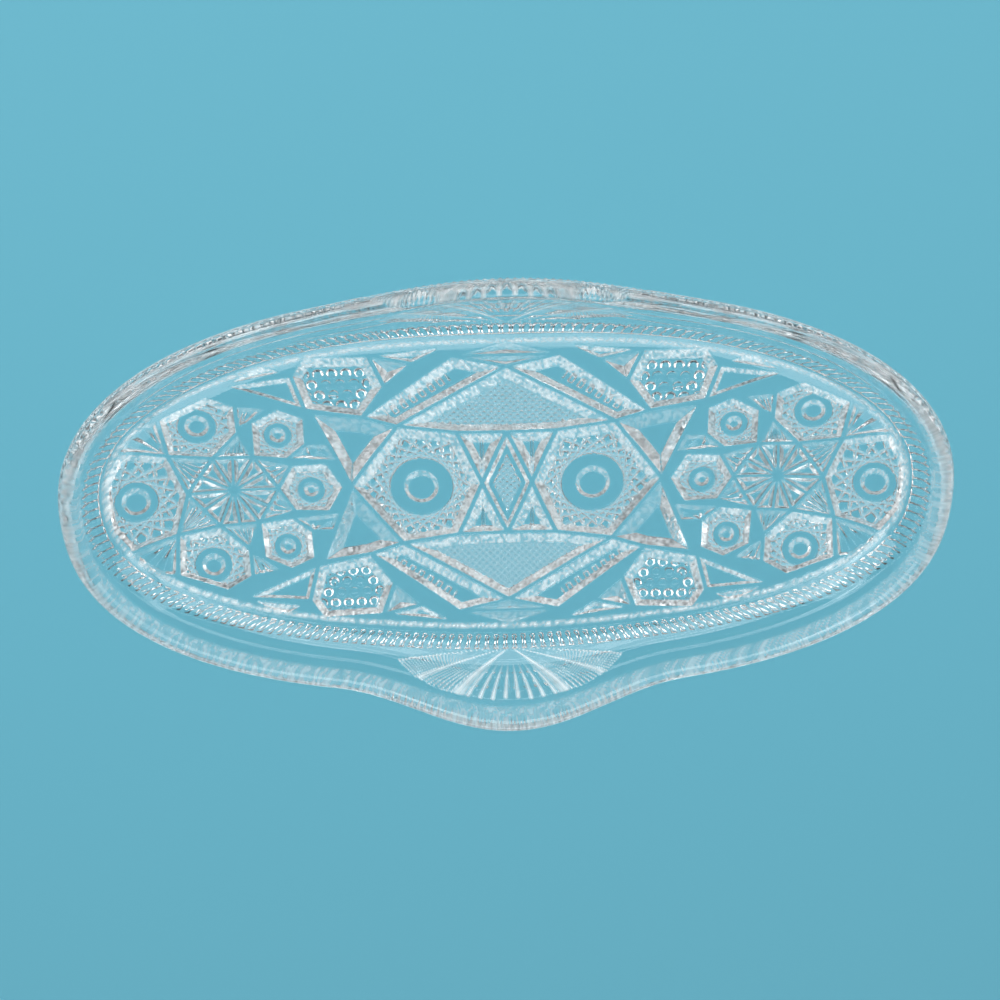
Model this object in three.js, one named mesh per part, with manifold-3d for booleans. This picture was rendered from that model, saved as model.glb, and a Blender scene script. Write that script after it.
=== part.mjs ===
// An oval relish dish of pressed glass, made in one piece: smooth inside, with a rounded wavy lip, a
// fan-cut lobe on each long side and a pattern of hexagons, buttons and arcs pressed into its underside.
// Millimetres, +Z up, standing on its base, with the origin at the bottom centre and +X along its length.
import * as THREE from "three";
import { mergeVertices, toCreasedNormals } from "three/addons/utils/BufferGeometryUtils.js";
import Module from "manifold-3d";

// Driving dimensions of the bowl
const RIM_LENGTH = 205;
const RIM_WIDTH = 103.5; // across the oval, without the lobes
const RIM_FULLNESS = 2.3; // exponent of the oval: 2 is an ellipse, more is squarer
const SIDE_HEIGHT = 16.7; // crest of the lip where a long side would be without its lobe
const END_HEIGHT = 21; // crest of the lip at both ends
const LOBE_HEIGHT = 26; // crest of the lip at the middle of a lobe
const LOBE_REACH = 5.2; // how far a lobe swells past the oval
const LOBE_SPAN = 86; // length of the rim that a lobe takes
const WALL_RUN = 38; // level distance from the flat base out to the middle of the lip
const FLOOR_THICKNESS = 5.5;
const LIP_THICKNESS = 4.5;
const SAUCER_SHARE = 0.37; // share of the lip's rise that the gently sloping saucer takes
const SAUCER_POWER = 1.25; // how the saucer steepens outwards
const LIP_POWER = 8; // how suddenly the wall turns up to the lip

// Driving dimensions of the pressed pattern
const RIDGE_WIDTH = 1.3; // flat strip left between two panels
const PANEL_DEPTH = 1.4;
const PANEL_BEVEL = 1.9; // level width of a panel's sloping sides
const DEEP_PANEL_DEPTH = 1.9;
const DEEP_PANEL_BEVEL = 3.4;
const SMALL_PANEL_DEPTH = 0.9;
const SMALL_PANEL_BEVEL = 1.1;
const BUTTON_DEPTH = 0.8;
const BUTTON_BEVEL = 1.1;
const ISLAND_SHARE = 0.5; // size of the raised middle of the lozenge against the whole lozenge
const BEVEL_LIMIT = 0.8; // the most of a panel's half width that its bevel may take
const OVERSHOOT = 0.6; // how far a cutter's sloping sides stand out of the glass
const LID_CLEARANCE = 5; // how far its lid stands out past them, so that no glass is left under a curved wall
const FAN_PANELS = 8;
const FAN_APEX = 43.4;
const FAN_HALF_WIDTH = 27;
const FAN_HEIGHT = 9;
const FAN_SPREAD = THREE.MathUtils.degToRad(166);

const plan = (x, y) => new THREE.Vector2(x, y);

// Corners of the pattern in plan, in the quarter where X and Y are positive
const LOZENGE_SIDE = plan(6, 0);
const LOZENGE_TIP = plan(0, 13.5);
const INNER_SHOULDER = plan(11.9, 13.7);
const OUTER_SHOULDER = plan(25.8, 15.7);
const FAR_POINT = plan(37.5, 0);
const SWEEP_START = plan(33.8, 18.3);
const ARC_TURN = plan(45.7, 19.9);
const CROSSING = plan(0, 31.2);
const SWEEP_MEET = plan(12.4, 34.1);
const SWEEP_TOP = plan(0, 37.8);
const EDGE_NEAR = plan(13, 36.9);
const KITE_TOP = plan(28.2, 26.2);
const KITE_INNER = plan(21.4, 32.2);
const KITE_OUTER = plan(31.5, 34.6);
const FIELD_EDGE = plan(46.5, 33.9);
const FIELD_TURN = plan(49.5, 30);
const LENS_START = plan(47, 20.8);
const LENS_END = plan(65.5, 28.4);
const STAR_NEAR = plan(55, 0);
const STAR_NEAR_SHOULDER = plan(60.4, 8.9);
const STAR_FAR_SHOULDER = plan(69.8, 9.1);
const STAR_FAR = plan(76.6, 0);
const STAR_MIDDLE = plan(65.9, 0);
const FIRST_NEAR = plan(39.2, 0);
const FIRST_NEAR_SHOULDER = plan(43, 6.6);
const FIRST_FAR_SHOULDER = plan(51.4, 6.2);
const SECOND_INNER = plan(52.3, 7.8);
const SECOND_LOW = plan(47.5, 11.8);
const SECOND_HIGH = plan(47.3, 18.9);
const SECOND_TOP = plan(53.4, 21.6);
const SECOND_FAR = plan(60, 18.2);
const THIRD_LOW = plan(63.1, 15.7);
const THIRD_HIGH = plan(63, 22.8);
const THIRD_TOP = plan(69.3, 26.2);
const THIRD_FAR = plan(81, 21.2);
const THIRD_INNER = plan(80, 10.6);
const LAST_SHOULDER = plan(91.2, 13.4);
const LAST_EDGE = plan(95.6, 4.5);
const GAP_EDGE = plan(88, 18.4);
const GAP_LOW = plan(40.2, 6.6);
const GAP_HIGH = plan(42.4, 11.8);

// Round dimples in the floors of the hexagons: middle and outer radius
const BUTTONS = [
  { middle: plan(20.6, 0), radius: 4.25 },
  { middle: plan(47, 0), radius: 1.9 },
  { middle: plan(53.9, 15), radius: 2 },
  { middle: plan(72.2, 18.6), radius: 2.9 },
  { middle: plan(88.8, 0), radius: 3.6 },
];

// How finely curved faces are divided
const COLUMNS = 84; // round the rim, a multiple of four
const WALL_ROWS = 7;
const ROW_CROWDING = 1.5; // over 1 puts more rows near the lip
const LIP_ROWS = 5;
const PATH_STEP = 9;
const BUTTON_SIDES = 12;
const CREASE_ANGLE = THREE.MathUtils.degToRad(14); // sharper edges than this are shown as edges
const HALVINGS = 30; // when searching for a place on the wall
const ATTEMPTS = 6; // when moving a place from the wall's middle to its underside

const lipRadius = LIP_THICKNESS / 2;
const rimReach = new THREE.Vector2(RIM_LENGTH / 2 - lipRadius, RIM_WIDTH / 2 - lipRadius);
const landReach = new THREE.Vector2(rimReach.x - WALL_RUN, rimReach.y - WALL_RUN);

// The bowl's shape: the wall's middle surface runs from the flat land to the middle of the lip

function signedPower(value, exponent) {
  return Math.sign(value) * Math.abs(value) ** exponent;
}

// Smooth swelling of the rim towards the middle of a lobe, from 0 beside it to 1
function lobeSwell(x) {
  const share = Math.min(1, Math.abs(x) / (LOBE_SPAN / 2));
  return 0.5 + 0.5 * Math.cos(Math.PI * share);
}

// Where a line round the wall crosses an angle, at a share of the way from the land (0) to the lip (1)
function wallPlan(angle, share) {
  const reach = landReach.clone().lerp(rimReach, share);
  const roundX = signedPower(Math.cos(angle), 2 / RIM_FULLNESS);
  const roundY = signedPower(Math.sin(angle), 2 / RIM_FULLNESS);
  const lobe = LOBE_REACH * lobeSwell(rimReach.x * roundX) * share * Math.sign(roundY);
  return new THREE.Vector2(reach.x * roundX, reach.y * roundY + lobe);
}

function lipMiddleHeight(x) {
  const towardsEnd = (x / rimReach.x) ** 2;
  const oval = SIDE_HEIGHT + (END_HEIGHT - SIDE_HEIGHT) * towardsEnd;
  return oval + (LOBE_HEIGHT - SIDE_HEIGHT) * lobeSwell(x) - lipRadius;
}

// Share of the lip's rise that the wall has made at a share of its run, and how steeply it rises there
function wallRise(share) {
  return SAUCER_SHARE * share ** SAUCER_POWER + (1 - SAUCER_SHARE) * share ** LIP_POWER;
}

function wallSteepness(share) {
  const saucer = SAUCER_SHARE * SAUCER_POWER * share ** (SAUCER_POWER - 1);
  return saucer + (1 - SAUCER_SHARE) * LIP_POWER * share ** (LIP_POWER - 1);
}

// The wall's middle at an angle and share, with its directions along and across the glass
function wallSection(angle, share) {
  const inner = wallPlan(angle, 0);
  const outer = wallPlan(angle, 1);
  const run = outer.distanceTo(inner);
  const outward = outer.clone().sub(inner).normalize();
  const rise = lipMiddleHeight(outer.x) - FLOOR_THICKNESS / 2;
  const plan = wallPlan(angle, share);
  const slope = Math.atan2(rise * wallSteepness(share), run);
  return {
    middle: new THREE.Vector3(plan.x, plan.y, FLOOR_THICKNESS / 2 + rise * wallRise(share)),
    along: new THREE.Vector3(outward.x * Math.cos(slope), outward.y * Math.cos(slope), Math.sin(slope)),
    across: new THREE.Vector3(-outward.x * Math.sin(slope), -outward.y * Math.sin(slope), Math.cos(slope)),
    thickness: THREE.MathUtils.lerp(FLOOR_THICKNESS, LIP_THICKNESS, share),
  };
}

// One cross-section at an angle: up the outside, round the lip and down the inside
function sectionPoints(angle) {
  const shares = Array.from({ length: WALL_ROWS + 1 }, (_, row) => 1 - (1 - row / WALL_ROWS) ** ROW_CROWDING);
  const sections = shares.map((share) => wallSection(angle, share));
  const outside = sections.map((s) => s.middle.clone().addScaledVector(s.across, -s.thickness / 2));
  const inside = sections.map((s) => s.middle.clone().addScaledVector(s.across, s.thickness / 2)).reverse();
  const { middle, along, across } = sections[WALL_ROWS];
  const lip = Array.from({ length: LIP_ROWS - 1 }, (_, row) => {
    const turn = Math.PI * ((row + 1) / LIP_ROWS - 0.5);
    const forward = middle.clone().addScaledVector(along, lipRadius * Math.cos(turn));
    return forward.addScaledVector(across, lipRadius * Math.sin(turn));
  });
  return [...outside, ...lip, ...inside];
}

function makeBowl() {
  const rows = 2 * (WALL_ROWS + 1) + LIP_ROWS - 1;
  const positions = [];
  for (let column = 0; column < COLUMNS; column += 1) {
    const angle = (2 * Math.PI * column) / COLUMNS;
    sectionPoints(angle).forEach((point) => positions.push(point.x, point.y, point.z));
  }
  const at = (column, row) => (column % COLUMNS) * rows + row;
  const triangles = [];
  const addQuad = (a, b, c, d) => {
    [[a, b, c], [a, c, d]].forEach((corners) => {
      if (new Set(corners).size === 3) triangles.push(...corners);
    });
  };
  for (let column = 0; column < COLUMNS; column += 1) {
    for (let row = 0; row < rows - 1; row += 1) {
      addQuad(at(column, row), at(column + 1, row), at(column + 1, row + 1), at(column, row + 1));
    }
  }
  // The flat base and floor: strips from one long side straight across to the other
  for (let column = 0; column < COLUMNS / 2; column += 1) {
    const across = COLUMNS - column;
    const [bottom, top] = [0, rows - 1];
    addQuad(at(column, bottom), at(across, bottom), at(across - 1, bottom), at(column + 1, bottom));
    addQuad(at(column, top), at(column + 1, top), at(across - 1, top), at(across, top));
  }
  const geometry = new THREE.BufferGeometry();
  geometry.setAttribute("position", new THREE.Float32BufferAttribute(positions, 3));
  geometry.setIndex(triangles);
  return geometry;
}

// Places on the underside, found from the plan

// The angle and share of the wall's middle surface above a place in plan, with share 0 over the land
function locateOnWall(place) {
  const lack = (share) => {
    const reach = landReach.clone().lerp(rimReach, share);
    const lobe = LOBE_REACH * lobeSwell((rimReach.x * place.x) / reach.x) * share;
    const sideways = Math.max(0, Math.abs(place.y) - lobe);
    return (Math.abs(place.x) / reach.x) ** RIM_FULLNESS + (sideways / reach.y) ** RIM_FULLNESS - 1;
  };
  let [low, high] = [0, 1];
  for (let halving = 0; halving < HALVINGS && lack(0) > 0; halving += 1) {
    const share = (low + high) / 2;
    if (lack(share) > 0) low = share;
    else high = share;
  }
  const share = low;
  const reach = landReach.clone().lerp(rimReach, share);
  const lobe = LOBE_REACH * lobeSwell((rimReach.x * place.x) / reach.x) * share;
  const sideways = Math.max(0, Math.abs(place.y) - lobe);
  const cosine = (Math.abs(place.x) / reach.x) ** (RIM_FULLNESS / 2);
  const sine = (sideways / reach.y) ** (RIM_FULLNESS / 2);
  return { angle: Math.atan2(Math.sign(place.y) * sine, Math.sign(place.x) * cosine), share };
}

// The point of the underside below a place in plan, and the direction out of the glass there
function underside(place) {
  const aim = place.clone();
  let point = new THREE.Vector3(place.x, place.y, 0);
  let outward = new THREE.Vector3(0, 0, -1);
  for (let attempt = 0; attempt < ATTEMPTS; attempt += 1) {
    const { angle, share } = locateOnWall(aim);
    if (share === 0) break;
    const { middle, across, thickness } = wallSection(angle, share);
    outward = across.clone().negate();
    point = middle.addScaledVector(outward, thickness / 2);
    aim.add(new THREE.Vector2(place.x - point.x, place.y - point.y));
  }
  return { point, outward };
}

// Recessed panels: polygons sunk into the underside with sloping sides, between narrow flat ridges

function anticlockwise(corners) {
  return THREE.ShapeUtils.area(corners) < 0 ? [...corners].reverse() : corners;
}

function middleOf(corners) {
  const sum = corners.reduce((total, corner) => total.add(corner), plan(0, 0));
  return sum.divideScalar(corners.length);
}

// Directions into an anticlockwise polygon, one for each of its sides
function inwardDirections(corners) {
  return corners.map((corner, index) => {
    const side = corners[(index + 1) % corners.length].clone().sub(corner).normalize();
    return plan(-side.y, side.x);
  });
}

// Moves every side of an anticlockwise polygon inwards, or outwards for a negative distance
function inset(corners, distance) {
  const inward = inwardDirections(corners);
  return corners.map((corner, index) => {
    const before = inward[(index + corners.length - 1) % corners.length];
    const after = inward[index];
    const shift = before.clone().add(after).multiplyScalar(distance / (1 + before.dot(after)));
    return corner.clone().add(shift);
  });
}

// Distance from the middle of a polygon to its nearest side
function halfWidth(corners) {
  const middle = middleOf(corners);
  const inward = inwardDirections(corners);
  return Math.min(...corners.map((corner, index) => middle.clone().sub(corner).dot(inward[index])));
}

// A point below a place in plan, sunk into the glass along the direction across it
function sunkPoint(place, depth) {
  const { point, outward } = underside(place);
  return point.addScaledVector(outward, -depth);
}

// The cutter of one panel: a lid and an outer loop clear of the glass, and an inner loop at the panel's floor
function makeCutter({ corners, depth, bevel, ridge, start }) {
  const border = inset(anticlockwise(corners), ridge / 2);
  const slope = Math.min(bevel, BEVEL_LIMIT * halfWidth(border));
  const outer = inset(border, (-slope * OVERSHOOT) / depth);
  const inner = inset(border, slope);
  const outerLoop = [];
  const innerLoop = [];
  outer.forEach((from, index) => {
    const next = (index + 1) % outer.length;
    const steps = Math.max(1, Math.ceil(from.distanceTo(outer[next]) / PATH_STEP));
    for (let step = 0; step < steps; step += 1) {
      outerLoop.push(from.clone().lerp(outer[next], step / steps));
      innerLoop.push(inner[index].clone().lerp(inner[next], step / steps));
    }
  });
  const count = outerLoop.length;
  const points = [
    ...outerLoop.map((place) => sunkPoint(place, start - OVERSHOOT)),
    ...innerLoop.map((place) => sunkPoint(place, start + depth)),
    ...outerLoop.map((place) => sunkPoint(place, start - OVERSHOOT - LID_CLEARANCE)),
    sunkPoint(middleOf(outerLoop), start - OVERSHOOT - LID_CLEARANCE),
    sunkPoint(middleOf(innerLoop), start + depth),
  ];
  const [outerMiddle, innerMiddle] = [3 * count, 3 * count + 1];
  const triangles = [];
  for (let index = 0; index < count; index += 1) {
    const next = (index + 1) % count;
    const [lid, lidNext] = [2 * count + index, 2 * count + next];
    triangles.push(index, next, count + next, index, count + next, count + index);
    triangles.push(lid, lidNext, next, lid, next, index);
    triangles.push(outerMiddle, lidNext, lid, innerMiddle, count + index, count + next);
  }
  const geometry = new THREE.BufferGeometry();
  geometry.setAttribute("position", new THREE.Float32BufferAttribute(points.flatMap((p) => p.toArray()), 3));
  geometry.setIndex(triangles);
  return geometry;
}

// The pattern: panels by their corners, each repeated in the quarters that it does not already cross

function flipped(corner, signX, signY) {
  return plan(corner.x * signX, corner.y * signY);
}

const acrossX = (corner) => flipped(corner, -1, 1);
const acrossY = (corner) => flipped(corner, 1, -1);

function panel(corners, { depth = PANEL_DEPTH, bevel = PANEL_BEVEL, ridge = RIDGE_WIDTH, start = 0 } = {}) {
  return { corners, depth, bevel, ridge, start };
}

function repeated(panels, signsX, signsY) {
  return signsX.flatMap((signX) => signsY.flatMap((signY) => panels.map((one) => {
    return { ...one, corners: one.corners.map((corner) => flipped(corner, signX, signY)) };
  })));
}

// Corners on one side of the length axis, carried on round the other side
function acrossLength(corners) {
  return [...corners, ...corners.filter((corner) => corner.y > 0).map(acrossY).reverse()];
}

function acrossWidth(corners) {
  return [...corners, ...corners.filter((corner) => corner.x > 0).map(acrossX).reverse()];
}

const DEEP = { depth: DEEP_PANEL_DEPTH, bevel: DEEP_PANEL_BEVEL };
const SMALL = { depth: SMALL_PANEL_DEPTH, bevel: SMALL_PANEL_BEVEL };
const BOTH = [1, -1];

function starPanels() {
  const tips = acrossLength([STAR_NEAR, STAR_NEAR_SHOULDER, STAR_FAR_SHOULDER, STAR_FAR]);
  return tips.map((tip, index) => panel([STAR_MIDDLE, tip, tips[(index + 1) % tips.length]], SMALL));
}

function fanPanels() {
  const tips = Array.from({ length: FAN_PANELS + 1 }, (_, ray) => {
    const turn = FAN_SPREAD * (ray / FAN_PANELS - 0.5);
    return plan(FAN_HALF_WIDTH * Math.sin(turn), FAN_APEX + FAN_HEIGHT * Math.cos(turn));
  });
  const apex = plan(0, FAN_APEX);
  return tips.slice(1).map((tip, ray) => panel([apex, tip, tips[ray]], SMALL));
}

function buttonPanel({ middle, radius }) {
  const corners = Array.from({ length: BUTTON_SIDES }, (_, corner) => {
    const angle = (2 * Math.PI * (corner + 0.5)) / BUTTON_SIDES;
    return plan(radius * Math.cos(angle), radius * Math.sin(angle)).add(middle);
  });
  return panel(corners, { depth: BUTTON_DEPTH, bevel: BUTTON_BEVEL, ridge: 0, start: PANEL_DEPTH });
}

// Panels that cross the length axis, for the end where X is positive
const lengthPanels = [
  panel(acrossLength([LOZENGE_SIDE, INNER_SHOULDER, OUTER_SHOULDER, FAR_POINT])),
  panel(acrossLength([FIRST_NEAR, FIRST_NEAR_SHOULDER, FIRST_FAR_SHOULDER, STAR_NEAR])),
  panel(acrossLength([STAR_FAR, THIRD_INNER, LAST_SHOULDER, LAST_EDGE])),
  ...starPanels(),
  ...BUTTONS.filter((button) => button.middle.y === 0).map(buttonPanel),
];

// Panels that cross the width axis, for the side where Y is positive
const widthPanels = [
  panel(acrossWidth([LOZENGE_TIP, INNER_SHOULDER, OUTER_SHOULDER, CROSSING])),
  panel(acrossWidth([CROSSING, SWEEP_MEET, SWEEP_TOP]), SMALL),
  ...fanPanels(),
];

// Panels that lie in one quarter
const quarterPanels = [
  panel([LOZENGE_SIDE, INNER_SHOULDER, LOZENGE_TIP]),
  panel([FAR_POINT, ARC_TURN, SWEEP_START, OUTER_SHOULDER], DEEP),
  panel([OUTER_SHOULDER, SWEEP_START, SWEEP_MEET, CROSSING]),
  panel([KITE_TOP, KITE_OUTER, KITE_INNER], DEEP),
  panel([EDGE_NEAR, KITE_INNER, KITE_OUTER], SMALL),
  panel([SWEEP_START, LENS_START, FIELD_TURN, FIELD_EDGE, KITE_OUTER, KITE_TOP]),
  panel([LENS_START, LENS_END, FIELD_TURN], SMALL),
  panel([STAR_NEAR_SHOULDER, SECOND_FAR, SECOND_TOP, SECOND_HIGH, SECOND_LOW, SECOND_INNER]),
  panel([STAR_FAR_SHOULDER, THIRD_INNER, THIRD_FAR, THIRD_TOP, THIRD_HIGH, THIRD_LOW]),
  panel([FIRST_FAR_SHOULDER, STAR_NEAR, STAR_NEAR_SHOULDER], SMALL),
  panel([STAR_NEAR_SHOULDER, STAR_FAR_SHOULDER, THIRD_LOW], SMALL),
  panel([STAR_FAR_SHOULDER, STAR_FAR, THIRD_INNER], SMALL),
  panel([THIRD_INNER, LAST_SHOULDER, GAP_EDGE, THIRD_FAR], SMALL),
  panel([GAP_LOW, SECOND_INNER, SECOND_LOW, GAP_HIGH], SMALL),
  ...BUTTONS.filter((button) => button.middle.y > 0).map(buttonPanel),
];

// The lozenge at the middle of the base keeps a raised flat island, which widens towards the panel's floor
const lozengeCorners = [LOZENGE_SIDE, LOZENGE_TIP, acrossX(LOZENGE_SIDE), acrossY(LOZENGE_TIP)];
const lozengePanel = panel(lozengeCorners, SMALL);
const islandPanel = panel(
  lozengeCorners.map((corner) => corner.clone().multiplyScalar(ISLAND_SHARE)),
  { depth: PANEL_DEPTH, bevel: -SMALL_PANEL_BEVEL, ridge: 0 },
);

// Cutting the panels out of the bowl

const wasm = await Module();
wasm.setup();

function toSolid(geometry) {
  const merged = mergeVertices(geometry);
  return new wasm.Manifold(new wasm.Mesh({
    numProp: 3,
    vertProperties: new Float32Array(merged.attributes.position.array),
    triVerts: new Uint32Array(merged.index.array),
  }));
}

function toGeometry(solid) {
  const mesh = solid.getMesh();
  const geometry = new THREE.BufferGeometry();
  geometry.setAttribute("position", new THREE.BufferAttribute(mesh.vertProperties, 3));
  geometry.setIndex(new THREE.BufferAttribute(mesh.triVerts, 1));
  return toCreasedNormals(geometry, CREASE_ANGLE);
}

const panels = [
  ...repeated(lengthPanels, BOTH, [1]),
  ...repeated(widthPanels, [1], BOTH),
  ...repeated(quarterPanels, BOTH, BOTH),
];
const lozengeMoat = toSolid(makeCutter(lozengePanel)).subtract(toSolid(makeCutter(islandPanel)));
const carved = panels.reduce(
  (solid, one) => solid.subtract(toSolid(makeCutter(one))),
  toSolid(makeBowl()).subtract(lozengeMoat),
);

const glass = new THREE.MeshStandardMaterial({ color: 0xdfeaec, roughness: 0.05, metalness: 0 });
const dish = new THREE.Mesh(toGeometry(carved), glass);
dish.name = "dish";

const model = new THREE.Group();
model.add(dish);

export default model;
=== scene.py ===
"""An oval relish dish of clear pressed glass, on a pale floor in soft studio light.

The glass is one closed mesh: a smooth inside, a rounded wavy lip and an underside whose pressed pattern is
worked out as a depth at each place in plan. Lengths of the pattern are millimetres in the part's frame, for
the quarter where X and Y are positive; the pattern mirrors across both axes.
"""

import bpy
import numpy as np
from mathutils import Matrix, Vector


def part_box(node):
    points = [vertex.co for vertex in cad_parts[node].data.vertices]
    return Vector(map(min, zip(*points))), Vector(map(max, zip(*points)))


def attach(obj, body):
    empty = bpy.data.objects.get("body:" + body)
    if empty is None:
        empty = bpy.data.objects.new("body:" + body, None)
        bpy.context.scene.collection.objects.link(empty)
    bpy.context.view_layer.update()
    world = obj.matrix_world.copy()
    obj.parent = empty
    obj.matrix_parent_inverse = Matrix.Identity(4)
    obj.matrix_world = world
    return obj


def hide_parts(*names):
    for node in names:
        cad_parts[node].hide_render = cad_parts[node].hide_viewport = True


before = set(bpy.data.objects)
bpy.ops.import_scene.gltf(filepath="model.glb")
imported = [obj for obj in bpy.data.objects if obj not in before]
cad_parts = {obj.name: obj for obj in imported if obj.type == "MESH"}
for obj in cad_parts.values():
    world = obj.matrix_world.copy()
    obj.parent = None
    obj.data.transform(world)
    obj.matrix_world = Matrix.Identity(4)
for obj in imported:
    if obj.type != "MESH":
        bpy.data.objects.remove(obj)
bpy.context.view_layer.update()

MM = 0.001

# Overall sizes, from the frame
dish_low, dish_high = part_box("dish")
RIM_LENGTH = (dish_high[0] - dish_low[0]) / MM
WIDTH_OVER_LOBES = (dish_high[1] - dish_low[1]) / MM
LOBE_HEIGHT = (dish_high[2] - dish_low[2]) / MM

# The bowl
RIM_WIDTH = 103.5
RIM_FULLNESS = 2.3
SIDE_HEIGHT = 16.7
END_HEIGHT = 21.0
LOBE_SPAN = 86.0
WALL_RUN = 38.0
FLOOR_THICKNESS = 5.5
LIP_THICKNESS = 4.5
SAUCER_SHARE = 0.37
SAUCER_POWER = 1.25
LIP_POWER = 8.0

# Depths and widths of the pressed pattern
RIDGE_WIDTH = 0.8
PANEL_DEPTH = 1.8
PANEL_BEVEL = 2.2
HEXAGON_BEVEL = 1.5
DEEP_DEPTH = 2.5
DEEP_BEVEL = 3.0
SMALL_DEPTH = 1.2
SMALL_BEVEL = 1.0
FACET_BEVEL = 2.2
FACET_RIDGE = 0.6
STAR_DEPTH = 1.5
FLUTE_SHARE = 0.7
BUTTON_DEPTH = 0.9
BUTTON_BEVEL = 1.2
TOOTH_DEPTH = 0.8
TOOTH_WIDTH = 1.3
ISLAND_BORDER = 2.2
ISLAND_BEVEL = 0.6
RIB_HALF_WIDTH = 0.5
RIB_SHARE = 0.6
LATTICE_PITCH = 1.25
LATTICE_DEPTH = 0.45
HOB_PITCH = 3.2
HOB_RADIUS = 1.25
HOB_HEIGHT = 1.1
HOB_MIDDLE_HEIGHT = 0.4
HOB_BORDER = 5.0
NOTCH_PITCH = 2.6
NOTCH_LENGTH = 1.5
NOTCH_WIDTH = 2.2
NOTCH_DEPTH = 1.1
NOTCH_BEVEL = 0.3
NOTCH_ASIDE = 1.0
NOTCH_START = 3.0
NOTCH_END_SHARE = 0.72
STIPPLE_PITCH = 0.55
STIPPLE_DEPTH = 0.16

# How far the sides of panels and the lip are whitened by their fine mould texture, from 0 to 1
SLOPE_FADE = 8
BEVEL_FROST = 0.85
FACET_FROST = 0.3
TOOTH_FROST = 0.4
LATTICE_FROST = 0.3
NOTCH_FROST = 0.5
BUTTON_FROST = 0.6
EDGE_FROST = 1.0
LIP_FROST = 0.5
SPECKLE_PITCH = 0.5
SPECKLE_LOW = 0.2
SPECKLE_CONTRAST = 0.9

# The oval edge of the pattern and the ring of beads outside it: half length, half width
EDGE_OVAL = (95.8, 38.0)
EDGE_BEVEL = 1.3
EDGE_LINE_WIDTH = 1.0
BEAD_OVAL = (99.0, 42.0)
BEAD_PITCH = 2.3
BEAD_ROW_WIDTH = 3.8
BEAD_DEPTH = 1.1
BEAD_BEVEL = 0.4

# Fine grooves round the wall, at shares of the way to the lip, and the textured band below the lip
GROOVE_SHARES = (0.78, 0.85, 0.91)
GROOVE_HALF_WIDTH = 0.012
GROOVE_DEPTH = 0.3
LIP_BAND_START = 0.955
LIP_BAND_FADE = 0.01
LIP_BAND_TURN = -0.9
LIP_BAND_TURN_FADE = 0.5

# The fan on each lobe: ribs are angles in degrees from the fan's middle
FAN_APEX = 43.4
FAN_HALF_WIDTH = 29.0
FAN_HEIGHT = 10.5
FAN_RIBS = (-29.0, 29.0, 54.0, 77.0)
FAN_DEPTH = 1.2
FAN_FINE_FLUTES = 9
FAN_FINE_DEPTH = 0.6
FAN_FINE_START = 0.35
FAN_BORDER = 0.8
FAN_RIB_SHARE = 0.22
FAN_FINE_RIB_SHARE = 0.5
FAN_FROST = 1.0
KNURL_PITCH = 1.6
KNURL_DEPTH = 0.45
KNURL_REACH = 31.0

# Corners of the pattern
LOZENGE_SIDE = (6.0, 0.0)
LOZENGE_TIP = (0.0, 13.5)
INNER_SHOULDER = (11.9, 13.7)
OUTER_SHOULDER = (25.8, 15.7)
FAR_POINT = (37.5, 0.0)
SWEEP_START = (33.8, 18.3)
ARC_TURN = (45.7, 19.9)
CROSSING = (0.0, 31.2)
SWEEP_MEET = (12.4, 34.1)
SWEEP_TOP = (0.0, 38.0)
EDGE_NEAR = (13.0, 36.9)
KITE_TOP = (28.2, 26.2)
KITE_INNER = (21.4, 32.2)
KITE_OUTER = (31.5, 34.6)
FIELD_EDGE = (46.5, 35.0)
FIELD_TURN = (49.5, 30.0)
LENS_START = (47.0, 20.8)
LENS_END = (65.5, 28.4)
STRIP_NEAR = (50.5, 31.0)
STRIP_OUTER = (56.0, 33.8)
STAR_NEAR = (55.0, 0.0)
STAR_NEAR_SHOULDER = (60.4, 8.9)
STAR_FAR_SHOULDER = (69.8, 9.1)
STAR_FAR = (76.6, 0.0)
STAR_MIDDLE = (65.9, 0.0)
FIRST_NEAR = (39.2, 0.0)
FIRST_NEAR_SHOULDER = (43.0, 6.6)
FIRST_FAR_SHOULDER = (51.4, 6.2)
SECOND_INNER = (52.3, 7.8)
SECOND_LOW = (47.5, 11.8)
SECOND_HIGH = (47.3, 18.9)
SECOND_TOP = (53.4, 21.6)
SECOND_FAR = (60.0, 18.2)
THIRD_LOW = (63.1, 15.7)
THIRD_HIGH = (63.0, 22.8)
THIRD_TOP = (69.3, 26.2)
THIRD_FAR = (81.0, 21.2)
THIRD_INNER = (80.0, 10.6)
LAST_SHOULDER = (91.4, 13.6)
LAST_EDGE = (97.0, 4.5)
GAP_EDGE = (89.8, 19.6)
GAP_LOW = (40.2, 6.6)
GAP_HIGH = (42.4, 11.8)

# Hobstars: middle, radius of the circle that the teeth touch, radius of the button, number of teeth
BIG_STAR = ((20.6, 0.0), 7.6, 4.25, 22)
FIRST_STAR = ((47.0, 0.0), 3.4, 1.9, 16)
SECOND_STAR = ((53.9, 15.0), 3.4, 2.0, 16)
THIRD_STAR = ((72.2, 18.6), 4.6, 2.9, 16)
LAST_STAR = ((88.8, 0.0), 5.4, 3.6, 16)

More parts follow.
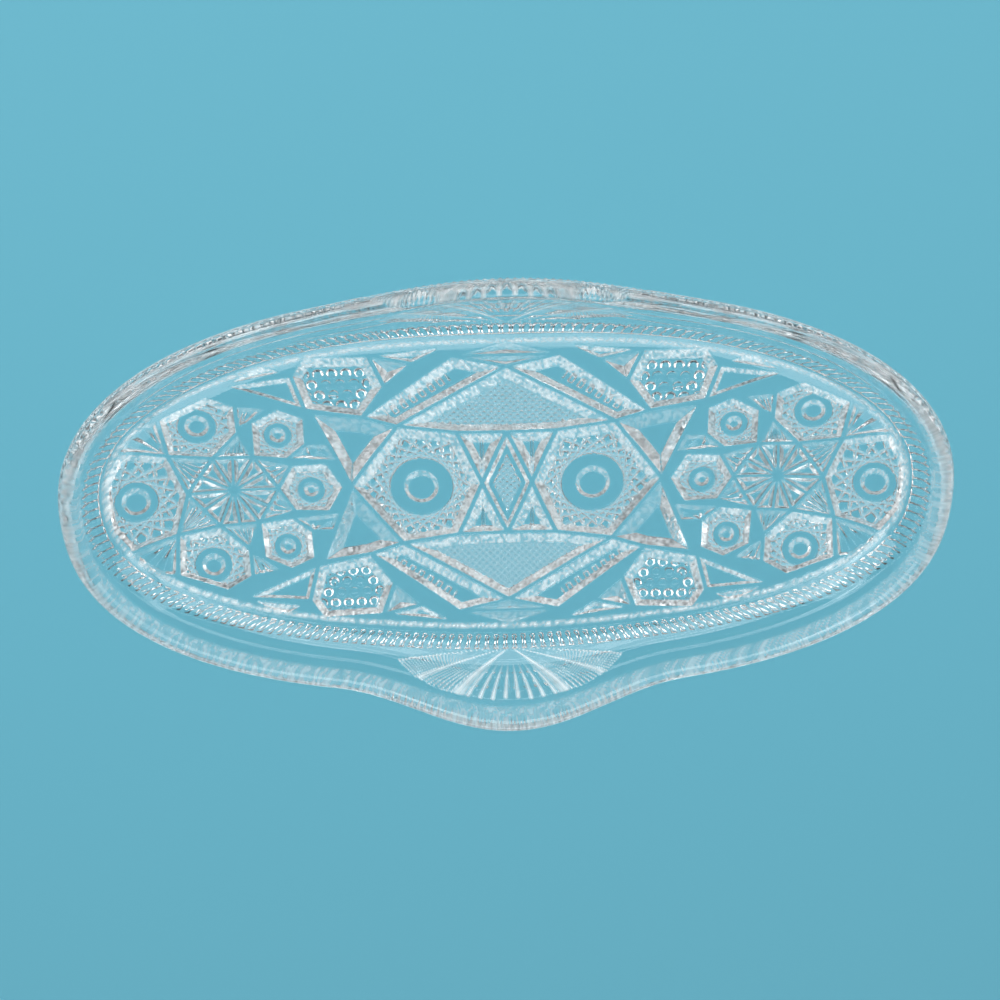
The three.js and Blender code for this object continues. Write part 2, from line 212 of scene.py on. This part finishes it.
# Small fans between the hexagons: corners, apex, number of flutes
SMALL_FANS = (
    ([FIRST_FAR_SHOULDER, STAR_NEAR, STAR_NEAR_SHOULDER], FIRST_FAR_SHOULDER, 4),
    ([STAR_NEAR_SHOULDER, STAR_FAR_SHOULDER, THIRD_LOW], THIRD_LOW, 7),
    ([STAR_FAR_SHOULDER, STAR_FAR, THIRD_INNER], THIRD_INNER, 6),
    ([THIRD_INNER, LAST_SHOULDER, GAP_EDGE, THIRD_FAR], THIRD_INNER, 3),
    ([GAP_LOW, SECOND_INNER, SECOND_LOW, GAP_HIGH], SECOND_LOW, 5),
    ([SECOND_FAR, THIRD_LOW, THIRD_HIGH, SECOND_TOP], THIRD_LOW, 4),
)

# How finely the glass is divided
COLUMNS = 1800
LAND_ROWS = 42
OUTSIDE_ROWS = 160
LIP_ROWS = 16
INSIDE_ROWS = 70
INSIDE_LAND_ROWS = 10
OVAL_STEPS = 4000
SMALLEST_SIZE = 1e-9
RANDOM_SEED = 7
BAKE_FILL = 0.96

# Materials
GLASS_COLOR = (0.99, 1.0, 1.0, 1.0)
GLASS_IOR = 1.52
CLEAR_ROUGHNESS = 0.02
FROST_ROUGHNESS = 0.35
FROST_TRANSMISSION = 0.25
FLOOR_COLOR = (0.12, 0.43, 0.55, 1.0)
FLOOR_ROUGHNESS = 0.7

# Floor and lights, in metres: name, place, width, height and brightness of each light
FLOOR_SIZE = 6.0
FLOOR_HEIGHT = -0.0002
LIGHTS = (
    ("overhead", (0.0, 0.5, 1.1), 1.4, 0.7, 2.7),
    ("back", (0.0, -1.2, 0.8), 1.8, 0.5, 1.6),
    ("key", (-0.9, 0.5, 0.9), 1.1, 1.1, 2.3),
    ("right", (1.0, 0.4, 0.7), 0.9, 0.9, 2.0),
)
SURROUND_COLOR = (0.5, 0.56, 0.6, 1.0)
SURROUND_STRENGTH = 0.2
LIGHT_BOUNCES = 24

# Camera: place in millimetres and directions in the part's frame
CAMERA_PLACE = (-9.2, 132.38, 286.7)
CAMERA_RIGHT = (0.9993, -0.0146, 0.0331)
CAMERA_DOWN = (-0.0275, -0.9008, 0.4333)
CAMERA_FORWARD = (0.0235, -0.4339, -0.9007)
IMAGE_SIZE = 1000
FOCAL_LENGTH_PIXELS = 1300.3
SENSOR_WIDTH = 36.0
NEAREST_SEEN = 0.01

lip_radius = LIP_THICKNESS / 2
rim_reach = np.array([RIM_LENGTH / 2 - lip_radius, RIM_WIDTH / 2 - lip_radius])
land_reach = rim_reach - WALL_RUN
lobe_reach = (WIDTH_OVER_LOBES - RIM_WIDTH) / 2


# The bowl's shape

def oval_point(angle, reach):
    """A place on an oval of this half length and half width."""
    cosine, sine = np.cos(angle), np.sin(angle)
    round_x = np.sign(cosine) * np.abs(cosine) ** (2 / RIM_FULLNESS)
    round_y = np.sign(sine) * np.abs(sine) ** (2 / RIM_FULLNESS)
    return np.stack([reach[0] * round_x, reach[1] * round_y], axis=-1)


def even_angles():
    """Angles that divide the oval half way up the wall into even columns."""
    fine = np.linspace(0, 2 * np.pi, OVAL_STEPS + 1)
    points = oval_point(fine, (land_reach + rim_reach) / 2)
    lengths = np.linalg.norm(np.diff(points, axis=0), axis=1)
    along = np.concatenate([[0], np.cumsum(lengths)])
    return np.interp(np.arange(COLUMNS) / COLUMNS * along[-1], along, fine)


def lobe_swell(x):
    """Smooth swelling of the rim towards the middle of a lobe, from 0 beside it to 1."""
    share = np.minimum(1, np.abs(x) / (LOBE_SPAN / 2))
    return 0.5 + 0.5 * np.cos(np.pi * share)


def wall_plan(angle, share):
    """Where the middle of the wall is in plan, at a share of the way from the land to the lip."""
    place = oval_point(angle, land_reach + (rim_reach - land_reach) * share)
    rim_x = oval_point(angle, rim_reach)[..., 0]
    place[..., 1] += lobe_reach * lobe_swell(rim_x) * share * np.sign(np.sin(angle))
    return place


def lip_height(x):
    """Height of the middle of the lip."""
    oval = SIDE_HEIGHT + (END_HEIGHT - SIDE_HEIGHT) * (x / rim_reach[0]) ** 2
    return oval + (LOBE_HEIGHT - SIDE_HEIGHT) * lobe_swell(x) - lip_radius


def wall_rise(share):
    """Share of the lip's rise that the wall has made at a share of its run."""
    return SAUCER_SHARE * share**SAUCER_POWER + (1 - SAUCER_SHARE) * share**LIP_POWER


def wall_steepness(share):
    saucer = SAUCER_SHARE * SAUCER_POWER * share ** (SAUCER_POWER - 1)
    return saucer + (1 - SAUCER_SHARE) * LIP_POWER * share ** (LIP_POWER - 1)


def wall_row(angle, share):
    """One line round the wall: its middle, the directions along and across the glass, and the thickness."""
    inner, outer = wall_plan(angle, 0.0), wall_plan(angle, 1.0)
    run = np.linalg.norm(outer - inner, axis=-1)
    outward = (outer - inner) / run[:, None]
    rise = lip_height(outer[:, 0]) - FLOOR_THICKNESS / 2
    slope = np.arctan2(rise * wall_steepness(share), run)
    middle = np.column_stack([wall_plan(angle, share), FLOOR_THICKNESS / 2 + rise * wall_rise(share)])
    along = np.column_stack([outward * np.cos(slope)[:, None], np.sin(slope)])
    across = np.column_stack([-outward * np.sin(slope)[:, None], np.cos(slope)])
    thickness = FLOOR_THICKNESS + (LIP_THICKNESS - FLOOR_THICKNESS) * share
    return middle, along, across, thickness


def land_row(angle, share, height):
    """One line of the flat base or floor, from its middle line (0) out to the wall (1)."""
    half = COLUMNS // 2
    column = np.arange(COLUMNS)
    from_end = np.minimum(column, COLUMNS - column) / half
    middle_line = np.column_stack([(land_reach[0] - land_reach[1]) * (1 - 2 * from_end), np.zeros(COLUMNS)])
    place = middle_line + (wall_plan(angle, 0.0) - middle_line) * share
    return np.column_stack([place, np.full(COLUMNS, height)])


# Pieces of the pattern: each gives the depth cut into the underside at places in plan

def mirrored_in_length(corners):
    """Corners on one side of the length axis, carried on round the other side."""
    return corners + [(x, -y) for x, y in reversed(corners) if y > 0]


def mirrored_in_width(corners):
    return corners + [(-x, y) for x, y in reversed(corners) if x > 0]


def anticlockwise(corners):
    following = corners[1:] + corners[:1]
    area = sum(x0 * y1 - x1 * y0 for (x0, y0), (x1, y1) in zip(corners, following))
    return corners if area > 0 else corners[::-1]


def inside_distance(x, y, corners):
    """Distance from each place in to the nearest side of a convex panel, negative outside it."""
    corners = anticlockwise(corners)
    nearest = np.full(x.shape, np.inf)
    for (x0, y0), (x1, y1) in zip(corners, corners[1:] + corners[:1]):
        length = np.hypot(x1 - x0, y1 - y0)
        nearest = np.minimum(nearest, ((x1 - x0) * (y - y0) - (y1 - y0) * (x - x0)) / length)
    return nearest


def oval_distance(x, y, oval):
    """Distance from each place in to an oval, negative outside it, true close to the oval."""
    power = RIM_FULLNESS
    sum_of_powers = (x / oval[0]) ** power + (y / oval[1]) ** power
    size = np.maximum(sum_of_powers, SMALLEST_SIZE) ** (1 / power)
    slope_x = (x / oval[0]) ** (power - 1) / oval[0]
    slope_y = (y / oval[1]) ** (power - 1) / oval[1]
    steepness = np.hypot(slope_x, slope_y) * size ** (1 - power)
    return (1 - size) / steepness


def zigzag(phase):
    """A wave of straight flanks with period 1: 0 at whole numbers and 1 half way between."""
    return 1 - np.abs(2 * (phase - np.floor(phase)) - 1)


def slope_cover(share):
    """1 on a panel's sloping side and 0 on its floor and ridges, from each place's share of the slope."""
    return np.clip(np.minimum(share, 1 - share) * SLOPE_FADE, 0, 1)


class Relief:
    """The depth of the pattern at places in plan, and how far fine mould texture whitens each place."""

    def __init__(self, x, y, grain):
        self.x, self.y = np.abs(x), np.abs(y)
        self.edge = oval_distance(self.x, self.y, EDGE_OVAL)
        self.grain = grain
        self.depth = np.zeros(x.shape)
        self.frost = np.zeros(x.shape)

    def panel(self, corners, depth=PANEL_DEPTH, bevel=PANEL_BEVEL, ridge=RIDGE_WIDTH, frost=BEVEL_FROST):
        """Sinks a panel with sloping sides, and returns how far each place is down its slope, up to 1."""
        inner = inside_distance(self.x, self.y, corners) - ridge / 2
        share = np.clip(np.minimum(inner / bevel, self.edge / EDGE_BEVEL), 0, 1)
        self.depth = np.maximum(self.depth, depth * share)
        self.whiten(frost * slope_cover(share))
        return share

    def add(self, depth, where):
        self.depth = self.depth + depth * where

    def whiten(self, frost, grainy=True):
        self.frost = np.maximum(self.frost, frost * self.grain if grainy else frost)

    def hobstar(self, floor, star):
        """Teeth round a round dimple: straight grooves that touch a circle cross outside it."""
        middle, radius, button, chords = star
        offset_x, offset_y = self.x - middle[0], self.y - middle[1]
        from_middle = np.hypot(offset_x, offset_y)
        distance = np.maximum(from_middle, radius)
        turn = np.arctan2(offset_y, offset_x)
        lean = np.arccos(radius / distance)
        reach = np.sqrt(distance**2 - radius**2)
        groove = np.zeros(self.x.shape)
        for side in (-1, 1):
            phase = (turn + side * lean) * chords / (2 * np.pi)
            away = np.abs(phase - np.round(phase)) * 2 * np.pi / chords * reach
            groove = np.maximum(groove, np.clip(1 - 2 * away / TOOTH_WIDTH, 0, 1))
        groove *= (floor >= 1) * (distance > radius)
        self.add(TOOTH_DEPTH, groove)
        self.whiten(TOOTH_FROST * groove, grainy=False)
        share = np.clip((button - from_middle) / BUTTON_BEVEL, 0, 1)
        self.add(BUTTON_DEPTH, share)
        self.whiten(BUTTON_FROST * slope_cover(share))

    def lattice(self, where):
        """Small pyramids between two families of slanting grooves."""
        first = zigzag((self.x + self.y) / LATTICE_PITCH / np.sqrt(2))
        second = zigzag((self.x - self.y) / LATTICE_PITCH / np.sqrt(2))
        groove = np.maximum(first, second) * where
        self.add(LATTICE_DEPTH, groove)
        self.whiten(LATTICE_FROST * groove, grainy=False)

    def hobs(self, corners, floor):
        """Rows of small round knobs, tall near the border of a field and low in its middle."""
        row_pitch = HOB_PITCH * np.sqrt(3) / 2
        row = np.round(self.y / row_pitch)
        along = self.x / HOB_PITCH + 0.5 * (row % 2)
        offset_x = (along - np.round(along)) * HOB_PITCH
        offset_y = self.y - row * row_pitch
        knob = np.sqrt(np.clip(1 - (offset_x**2 + offset_y**2) / HOB_RADIUS**2, 0, 1))
        border = np.minimum(inside_distance(self.x, self.y, corners), self.edge)
        height = np.where(border < HOB_BORDER, HOB_HEIGHT, HOB_MIDDLE_HEIGHT)
        self.add(-height, knob * (floor >= 1))

    def fan(self, corners, apex, flutes):
        """A small panel filled with flutes that spread from an apex."""
        share = self.panel(corners, SMALL_DEPTH, SMALL_BEVEL, frost=FACET_FROST)
        turns = [np.arctan2(y - apex[1], x - apex[0]) for x, y in corners if (x, y) != apex]
        low, high = min(turns), max(turns)
        turn = np.arctan2(self.y - apex[1], self.x - apex[0])
        self.add(-SMALL_DEPTH * FLUTE_SHARE, share * (1 - zigzag((turn - low) / (high - low) * flutes)))


def carve_middle(relief):
    """The lozenge with its raised island, the triangles beside it and the two big hobstar hexagons."""
    lozenge = [LOZENGE_SIDE, LOZENGE_TIP, (-LOZENGE_SIDE[0], 0.0), (0.0, -LOZENGE_TIP[1])]
    share = relief.panel(lozenge, SMALL_DEPTH, SMALL_BEVEL)
    inner = inside_distance(relief.x, relief.y, lozenge)
    island = np.clip((inner - ISLAND_BORDER) / ISLAND_BEVEL, 0, 1)
    relief.add(-SMALL_DEPTH + LATTICE_DEPTH, island * share)
    relief.lattice(island)
    share = relief.panel([LOZENGE_SIDE, INNER_SHOULDER, LOZENGE_TIP])
    middle_x = (INNER_SHOULDER[0] + LOZENGE_TIP[0]) / 2
    rib = np.clip(1 - np.abs(relief.x - middle_x) / RIB_HALF_WIDTH, 0, 1)
    relief.add(-PANEL_DEPTH * RIB_SHARE, rib * share)
    hexagon = mirrored_in_length([LOZENGE_SIDE, INNER_SHOULDER, OUTER_SHOULDER, FAR_POINT])
    relief.hobstar(relief.panel(hexagon), BIG_STAR)


def carve_ladder(relief):
    """The long strip on each side of a boat, with a row of notches along it."""
    floor = relief.panel([OUTER_SHOULDER, SWEEP_START, SWEEP_MEET, CROSSING])
    start = (np.array(OUTER_SHOULDER) + np.array(SWEEP_START)) / 2
    end = (np.array(CROSSING) + np.array(SWEEP_MEET)) / 2
    length = np.hypot(*(end - start))
    forward = (end - start) / length
    along = (relief.x - start[0]) * forward[0] + (relief.y - start[1]) * forward[1]
    aside = (relief.y - start[1]) * -forward[0] + (relief.x - start[0]) * forward[1]
    from_notch = np.abs(along / NOTCH_PITCH - np.round(along / NOTCH_PITCH)) * NOTCH_PITCH
    notch = np.clip((NOTCH_LENGTH / 2 - from_notch) / NOTCH_BEVEL, 0, 1)
    notch *= np.clip((NOTCH_WIDTH / 2 - np.abs(aside - NOTCH_ASIDE)) / NOTCH_BEVEL, 0, 1)
    notch *= (along > NOTCH_START) * (along < length * NOTCH_END_SHARE) * floor
    relief.add(NOTCH_DEPTH, notch)
    relief.whiten(NOTCH_FROST * slope_cover(notch), grainy=False)


def carve_sides(relief):
    """The deep triangles, the boats, the ladders and the fields towards each long side."""
    deep = (DEEP_DEPTH, DEEP_BEVEL, RIDGE_WIDTH, FACET_FROST)
    relief.panel([FAR_POINT, ARC_TURN, SWEEP_START, OUTER_SHOULDER], *deep)
    floor = relief.panel(mirrored_in_width([LOZENGE_TIP, INNER_SHOULDER, OUTER_SHOULDER, CROSSING]))
    relief.lattice(floor >= 1)
    carve_ladder(relief)
    relief.panel([KITE_TOP, KITE_OUTER, KITE_INNER], *deep)
    relief.panel([EDGE_NEAR, KITE_INNER, KITE_OUTER], SMALL_DEPTH, SMALL_BEVEL)
    field = [SWEEP_START, LENS_START, FIELD_TURN, FIELD_EDGE, KITE_OUTER, KITE_TOP]
    relief.hobs(field, relief.panel(field))
    relief.panel([LENS_START, LENS_END, FIELD_TURN], SMALL_DEPTH, SMALL_BEVEL)
    relief.panel([STRIP_NEAR, LENS_END, STRIP_OUTER], SMALL_DEPTH, SMALL_BEVEL)
    facet = (SMALL_DEPTH, FACET_BEVEL, FACET_RIDGE, FACET_FROST)
    meet_line = (0.0, SWEEP_MEET[1])
    relief.panel(mirrored_in_width([CROSSING, SWEEP_MEET, meet_line]), *facet)
    relief.panel(mirrored_in_width([meet_line, SWEEP_MEET, SWEEP_TOP]), *facet)


def carve_ends(relief):
    """The star at each end, with four hobstar hexagons round its upper half and fans between them."""
    tips = [STAR_NEAR, STAR_NEAR_SHOULDER, STAR_FAR_SHOULDER, STAR_FAR]
    for near, far in zip(tips, tips[1:]):
        half_way = ((near[0] + far[0]) / 2, (near[1] + far[1]) / 2)
        for start, end in ((near, half_way), (half_way, far)):
            relief.panel([STAR_MIDDLE, start, end], STAR_DEPTH, SMALL_BEVEL, FACET_RIDGE, FACET_FROST)
    hexagons = (
        (mirrored_in_length([FIRST_NEAR, FIRST_NEAR_SHOULDER, FIRST_FAR_SHOULDER, STAR_NEAR]), FIRST_STAR),
        ([STAR_NEAR_SHOULDER, SECOND_FAR, SECOND_TOP, SECOND_HIGH, SECOND_LOW, SECOND_INNER], SECOND_STAR),
        ([STAR_FAR_SHOULDER, THIRD_INNER, THIRD_FAR, THIRD_TOP, THIRD_HIGH, THIRD_LOW], THIRD_STAR),
        (mirrored_in_length([STAR_FAR, THIRD_INNER, LAST_SHOULDER, LAST_EDGE]), LAST_STAR),
    )
    for corners, star in hexagons:
        relief.hobstar(relief.panel(corners, bevel=HEXAGON_BEVEL), star)
    for corners, apex, flutes in SMALL_FANS:
        relief.fan(corners, apex, flutes)


def carve_beads(relief):
    """The ring of beads outside the pattern's edge."""
    x, y = relief.x, relief.y
    away = np.abs(oval_distance(x, y, BEAD_OVAL))
    quarter = np.linspace(0, np.pi / 2, OVAL_STEPS)
    points = oval_point(quarter, BEAD_OVAL)
    lengths = np.concatenate([[0], np.cumsum(np.linalg.norm(np.diff(points, axis=0), axis=1))])
    half_power = RIM_FULLNESS / 2
    turn = np.arctan2((y / BEAD_OVAL[1]) ** half_power, (x / BEAD_OVAL[0]) ** half_power)
    beads = np.round(lengths[-1] / BEAD_PITCH)
    phase = np.interp(turn, quarter, lengths) / lengths[-1] * beads
    channel = np.clip((BEAD_ROW_WIDTH / 2 - away) / BEAD_BEVEL, 0, 1)
    from_bead = 2 * (phase - np.round(phase))
    bead = np.sqrt(np.clip(1 - from_bead**2 - (2 * away / BEAD_ROW_WIDTH) ** 2, 0, 1))
    relief.add(BEAD_DEPTH, channel * (1 - bead))


def carve_lobes(relief):
    """The fan on each lobe: broad flutes between main ribs, with fine flutes towards their outer ends."""
    x, y = relief.x, relief.y
    across, up = x / FAN_HALF_WIDTH, (y - FAN_APEX) / FAN_HEIGHT
    size = np.hypot(across, up)
    turn = np.degrees(np.arctan2(across, up))
    phase = np.interp(turn, FAN_RIBS, np.arange(len(FAN_RIBS)))
    border = np.clip((1 - size) * FAN_HEIGHT / FAN_BORDER, 0, 1) * (turn < FAN_RIBS[-1])
    relief.add(FAN_DEPTH, zigzag(phase) * border * np.clip(size, 0, 1))
    outer = np.clip((size - FAN_FINE_START) / FAN_FINE_START, 0, 1)
    fine = zigzag(phase * FAN_FINE_FLUTES)
    relief.add(FAN_FINE_DEPTH, fine * border * outer)
    main_rib = np.clip(1 - zigzag(phase) / FAN_RIB_SHARE, 0, 1)
    fine_rib = np.clip(1 - fine / FAN_FINE_RIB_SHARE, 0, 1) * outer
    relief.whiten(FAN_FROST * np.maximum(main_rib, fine_rib) * (border > 0), grainy=False)


def knurl(x):
    """Marks across the lip of each lobe, from 0 to 1."""
    return zigzag(np.abs(x) / KNURL_PITCH) * (np.abs(x) < KNURL_REACH)


def carve_rim(relief, wall_share):
    """Fine grooves round the wall, and the textured band below the lip."""
    for share in GROOVE_SHARES:
        relief.add(GROOVE_DEPTH, np.clip(1 - np.abs(wall_share - share) / GROOVE_HALF_WIDTH, 0, 1))
    band = np.clip((wall_share - LIP_BAND_START) / LIP_BAND_FADE, 0, 1)
    relief.whiten(LIP_FROST * band)
    relief.add(KNURL_DEPTH, knurl(relief.x) * band)


def noise(points, pitch):
    """Smooth random values from -1 to 1, always the same at the same place."""
    random = np.random.default_rng(RANDOM_SEED)
    cells = int(RIM_LENGTH / pitch)
    table = random.uniform(-1, 1, (cells, cells))
    u, v = (points[..., 0] + points[..., 2]) / pitch, (points[..., 1] + points[..., 2]) / pitch
    column, row = np.floor(u).astype(int), np.floor(v).astype(int)
    share_u, share_v = u - column, v - row
    row, column, row_after, column_after = (n % cells for n in (row, column, row + 1, column + 1))
    low = table[row, column] * (1 - share_u) + table[row, column_after] * share_u
    high = table[row_after, column] * (1 - share_u) + table[row_after, column_after] * share_u
    return low * (1 - share_v) + high * share_v


def speckle(points):
    """Share of the frosting that each place keeps, which makes it grainy."""
    grain = np.clip(0.5 + SPECKLE_CONTRAST * noise(points, SPECKLE_PITCH), 0, 1)
    return SPECKLE_LOW + (1 - SPECKLE_LOW) * grain


def carve(points, wall_share):
    """The depth of the whole pattern and its frosting, at points of the underside."""
    relief = Relief(points[..., 0], points[..., 1], speckle(points))
    carve_middle(relief)
    carve_sides(relief)
    carve_ends(relief)
    relief.whiten(EDGE_FROST * np.clip(1 - np.abs(relief.edge) / EDGE_LINE_WIDTH, 0, 1))
    carve_beads(relief)
    carve_lobes(relief)
    carve_rim(relief, wall_share)
    relief.add(STIPPLE_DEPTH * noise(points, STIPPLE_PITCH), relief.frost)
    return np.maximum(relief.depth, 0), relief.frost


# The glass as one closed mesh

def glass_rows():
    """Every line of the mesh in order: underside from its middle line out, round the lip, and inside back in.

    Also gives the frosting at each point.
    """
    angle = even_angles()
    up = np.tile([0.0, 0.0, 1.0], (COLUMNS, 1))
    points = [land_row(angle, share, 0.0) for share in np.linspace(0, 1, LAND_ROWS + 1)[:-1]]
    across = [up] * LAND_ROWS
    shares = [0.0] * LAND_ROWS
    for share in np.linspace(0, 1, OUTSIDE_ROWS + 1):
        middle, _, normal, thickness = wall_row(angle, share)
        points.append(middle - normal * thickness / 2)
        across.append(normal)
        shares.append(share)
    wall_share = np.repeat(np.array(shares)[:, None], COLUMNS, axis=1)
    underside = np.array(points)
    depth, frost = carve(underside, wall_share)
    underside += np.array(across) * depth[..., None]
    rows, frosting = list(underside), list(frost)
    middle, along, normal, _ = wall_row(angle, 1.0)
    for turn in np.linspace(-np.pi / 2, np.pi / 2, LIP_ROWS + 1)[1:-1]:
        band = np.clip((LIP_BAND_TURN - turn) / LIP_BAND_TURN_FADE, 0, 1)
        outward = along * np.cos(turn) + normal * np.sin(turn)
        surface = middle + lip_radius * outward
        marks = KNURL_DEPTH * knurl(surface[:, 0]) * band
        rows.append(surface - outward * marks[:, None])
        frosting.append(LIP_FROST * band * speckle(surface))
    inside = []
    for share in np.linspace(1, 0, INSIDE_ROWS + 1):
        middle, _, normal, thickness = wall_row(angle, share)
        inside.append(middle + normal * thickness / 2)
    for share in np.linspace(1, 0, INSIDE_LAND_ROWS + 1)[1:]:
        inside.append(land_row(angle, share, FLOOR_THICKNESS))
    rows += inside
    frosting += [np.zeros(COLUMNS)] * len(inside)
    return np.array(rows), np.array(frosting)


def in_mesh_order(rows):
    """One value for each corner of the mesh: the first and last lines run there and back, so half is kept."""
    kept = COLUMNS // 2 + 1
    return np.concatenate([rows[0][:kept], rows[1:-1].reshape(-1, *rows.shape[2:]), rows[-1][:kept]])


def make_dish(material):
    rows, frosting = glass_rows()
    row_count = len(rows)
    column = np.arange(COLUMNS)
    # The first and last lines run there and back along the middle, so their columns share corners in pairs
    paired = np.minimum(column, COLUMNS - column)
    first_full = COLUMNS // 2 + 1
    index = first_full + (np.arange(row_count)[:, None] - 1) * COLUMNS + column[None, :]
    index[0] = paired
    index[-1] = first_full + (row_count - 2) * COLUMNS + paired
    corners = in_mesh_order(rows) * MM
    after = np.roll(index, -1, axis=1)
    quads = np.stack([index[:-1], after[:-1], after[1:], index[1:]], axis=-1).reshape(-1, 4)

    mesh = bpy.data.meshes.new("dish_glass")
    mesh.vertices.add(len(corners))
    mesh.vertices.foreach_set("co", corners.astype(np.float32).ravel())
    mesh.loops.add(quads.size)
    mesh.loops.foreach_set("vertex_index", quads.astype(np.int32).ravel())
    mesh.polygons.add(len(quads))
    mesh.polygons.foreach_set("loop_start", np.arange(0, quads.size, 4, dtype=np.int32))
    mesh.polygons.foreach_set("use_smooth", np.ones(len(quads), dtype=bool))
    mesh.update(calc_edges=True)
    mesh.attributes.new("frost", "FLOAT", "POINT").data.foreach_set(
        "value", in_mesh_order(frosting).astype(np.float32)
    )

    # The underside takes the left half of the map for baking and the inside the right half, both in plan
    row_of_quad = np.repeat(np.arange(row_count - 1), COLUMNS)
    inside = row_of_quad >= LAND_ROWS + OUTSIDE_ROWS + LIP_ROWS // 2
    place = corners[quads][..., :2]
    along_map = 0.5 + BAKE_FILL * place[..., 0] / (RIM_LENGTH * MM)
    flat_u = (along_map + inside[:, None]) / 2
    flat_v = 0.5 + BAKE_FILL * place[..., 1] / (WIDTH_OVER_LOBES * MM)
    layer = mesh.uv_layers.new(name="OFBake")
    layer.data.foreach_set("uv", np.stack([flat_u, flat_v], axis=-1).astype(np.float32).ravel())

    mesh.materials.append(material)
    dish = bpy.data.objects.new("dish_glass", mesh)
    bpy.context.collection.objects.link(dish)
    return dish


# The looks of the glass and the floor

def make_glass():
    """Clear glass, whitened where it is frosted, which lets light on to what lies under it."""
    material = bpy.data.materials.new("clear_glass")
    material.use_nodes = True
    nodes, links = material.node_tree.nodes, material.node_tree.links
    shader = nodes["Principled BSDF"]
    shader.inputs["Base Color"].default_value = GLASS_COLOR
    shader.inputs["IOR"].default_value = GLASS_IOR
    frost = nodes.new("ShaderNodeAttribute")
    frost.attribute_name = "frost"
    for socket, clear_value, frosted_value in (
        ("Roughness", CLEAR_ROUGHNESS, FROST_ROUGHNESS),
        ("Transmission Weight", 1.0, FROST_TRANSMISSION),
    ):
        blend = nodes.new("ShaderNodeMapRange")
        blend.inputs["To Min"].default_value = clear_value
        blend.inputs["To Max"].default_value = frosted_value
        links.new(frost.outputs["Fac"], blend.inputs["Value"])
        links.new(blend.outputs["Result"], shader.inputs[socket])
    clear = nodes.new("ShaderNodeBsdfTransparent")
    clear.inputs["Color"].default_value = GLASS_COLOR
    path = nodes.new("ShaderNodeLightPath")
    surface = shader.outputs["BSDF"]
    for rays in ("Is Shadow Ray", "Is Diffuse Ray"):
        mix = nodes.new("ShaderNodeMixShader")
        links.new(path.outputs[rays], mix.inputs["Fac"])
        links.new(surface, mix.inputs[1])
        links.new(clear.outputs["BSDF"], mix.inputs[2])
        surface = mix.outputs["Shader"]
    links.new(surface, nodes["Material Output"].inputs["Surface"])
    return material


def make_floor_material():
    material = bpy.data.materials.new("pale_floor")
    material.use_nodes = True
    shader = material.node_tree.nodes["Principled BSDF"]
    shader.inputs["Base Color"].default_value = FLOOR_COLOR
    shader.inputs["Roughness"].default_value = FLOOR_ROUGHNESS
    return material


# The studio

def make_floor(material):
    bpy.ops.mesh.primitive_plane_add(size=FLOOR_SIZE, location=(0, 0, FLOOR_HEIGHT))
    floor = bpy.context.object
    floor.name = "floor"
    floor.data.materials.append(material)
    return floor


def add_light(name, place, width, height, brightness):
    """A soft rectangular light aimed at the dish, whose brightness is the same at any size."""
    data = bpy.data.lights.new(name, "AREA")
    data.shape = "RECTANGLE"
    data.size, data.size_y = width, height
    data.energy = brightness * np.pi * width * height
    light = bpy.data.objects.new(name, data)
    light.location = place
    light.rotation_euler = (-Vector(place)).to_track_quat("-Z", "Y").to_euler()
    bpy.context.collection.objects.link(light)


def add_lights():
    for name, place, width, height, brightness in LIGHTS:
        add_light(name, place, width, height, brightness)
    world = bpy.data.worlds.new("studio")
    world.use_nodes = True
    background = world.node_tree.nodes["Background"]
    background.inputs["Color"].default_value = SURROUND_COLOR
    background.inputs["Strength"].default_value = SURROUND_STRENGTH
    bpy.context.scene.world = world


def add_camera():
    data = bpy.data.cameras.new("camera")
    data.sensor_width = SENSOR_WIDTH
    data.lens = SENSOR_WIDTH * FOCAL_LENGTH_PIXELS / IMAGE_SIZE
    data.clip_start = NEAREST_SEEN
    camera = bpy.data.objects.new("camera", data)
    turn = Matrix((CAMERA_RIGHT, [-v for v in CAMERA_DOWN], [-v for v in CAMERA_FORWARD])).transposed()
    camera.matrix_world = Matrix.Translation(Vector(CAMERA_PLACE) * MM) @ turn.to_4x4()
    bpy.context.collection.objects.link(camera)
    bpy.context.scene.camera = camera


dish = make_dish(make_glass())
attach(dish, "root")
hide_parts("dish")

make_floor(make_floor_material())
add_lights()
add_camera()

scene = bpy.context.scene
scene.view_settings.view_transform = "Standard"
scene.cycles.use_denoising = True
scene.cycles.max_bounces = LIGHT_BOUNCES
scene.cycles.transmission_bounces = LIGHT_BOUNCES
scene.cycles.transparent_max_bounces = LIGHT_BOUNCES
scene.cycles.caustics_reflective = False
scene.cycles.caustics_refractive = False
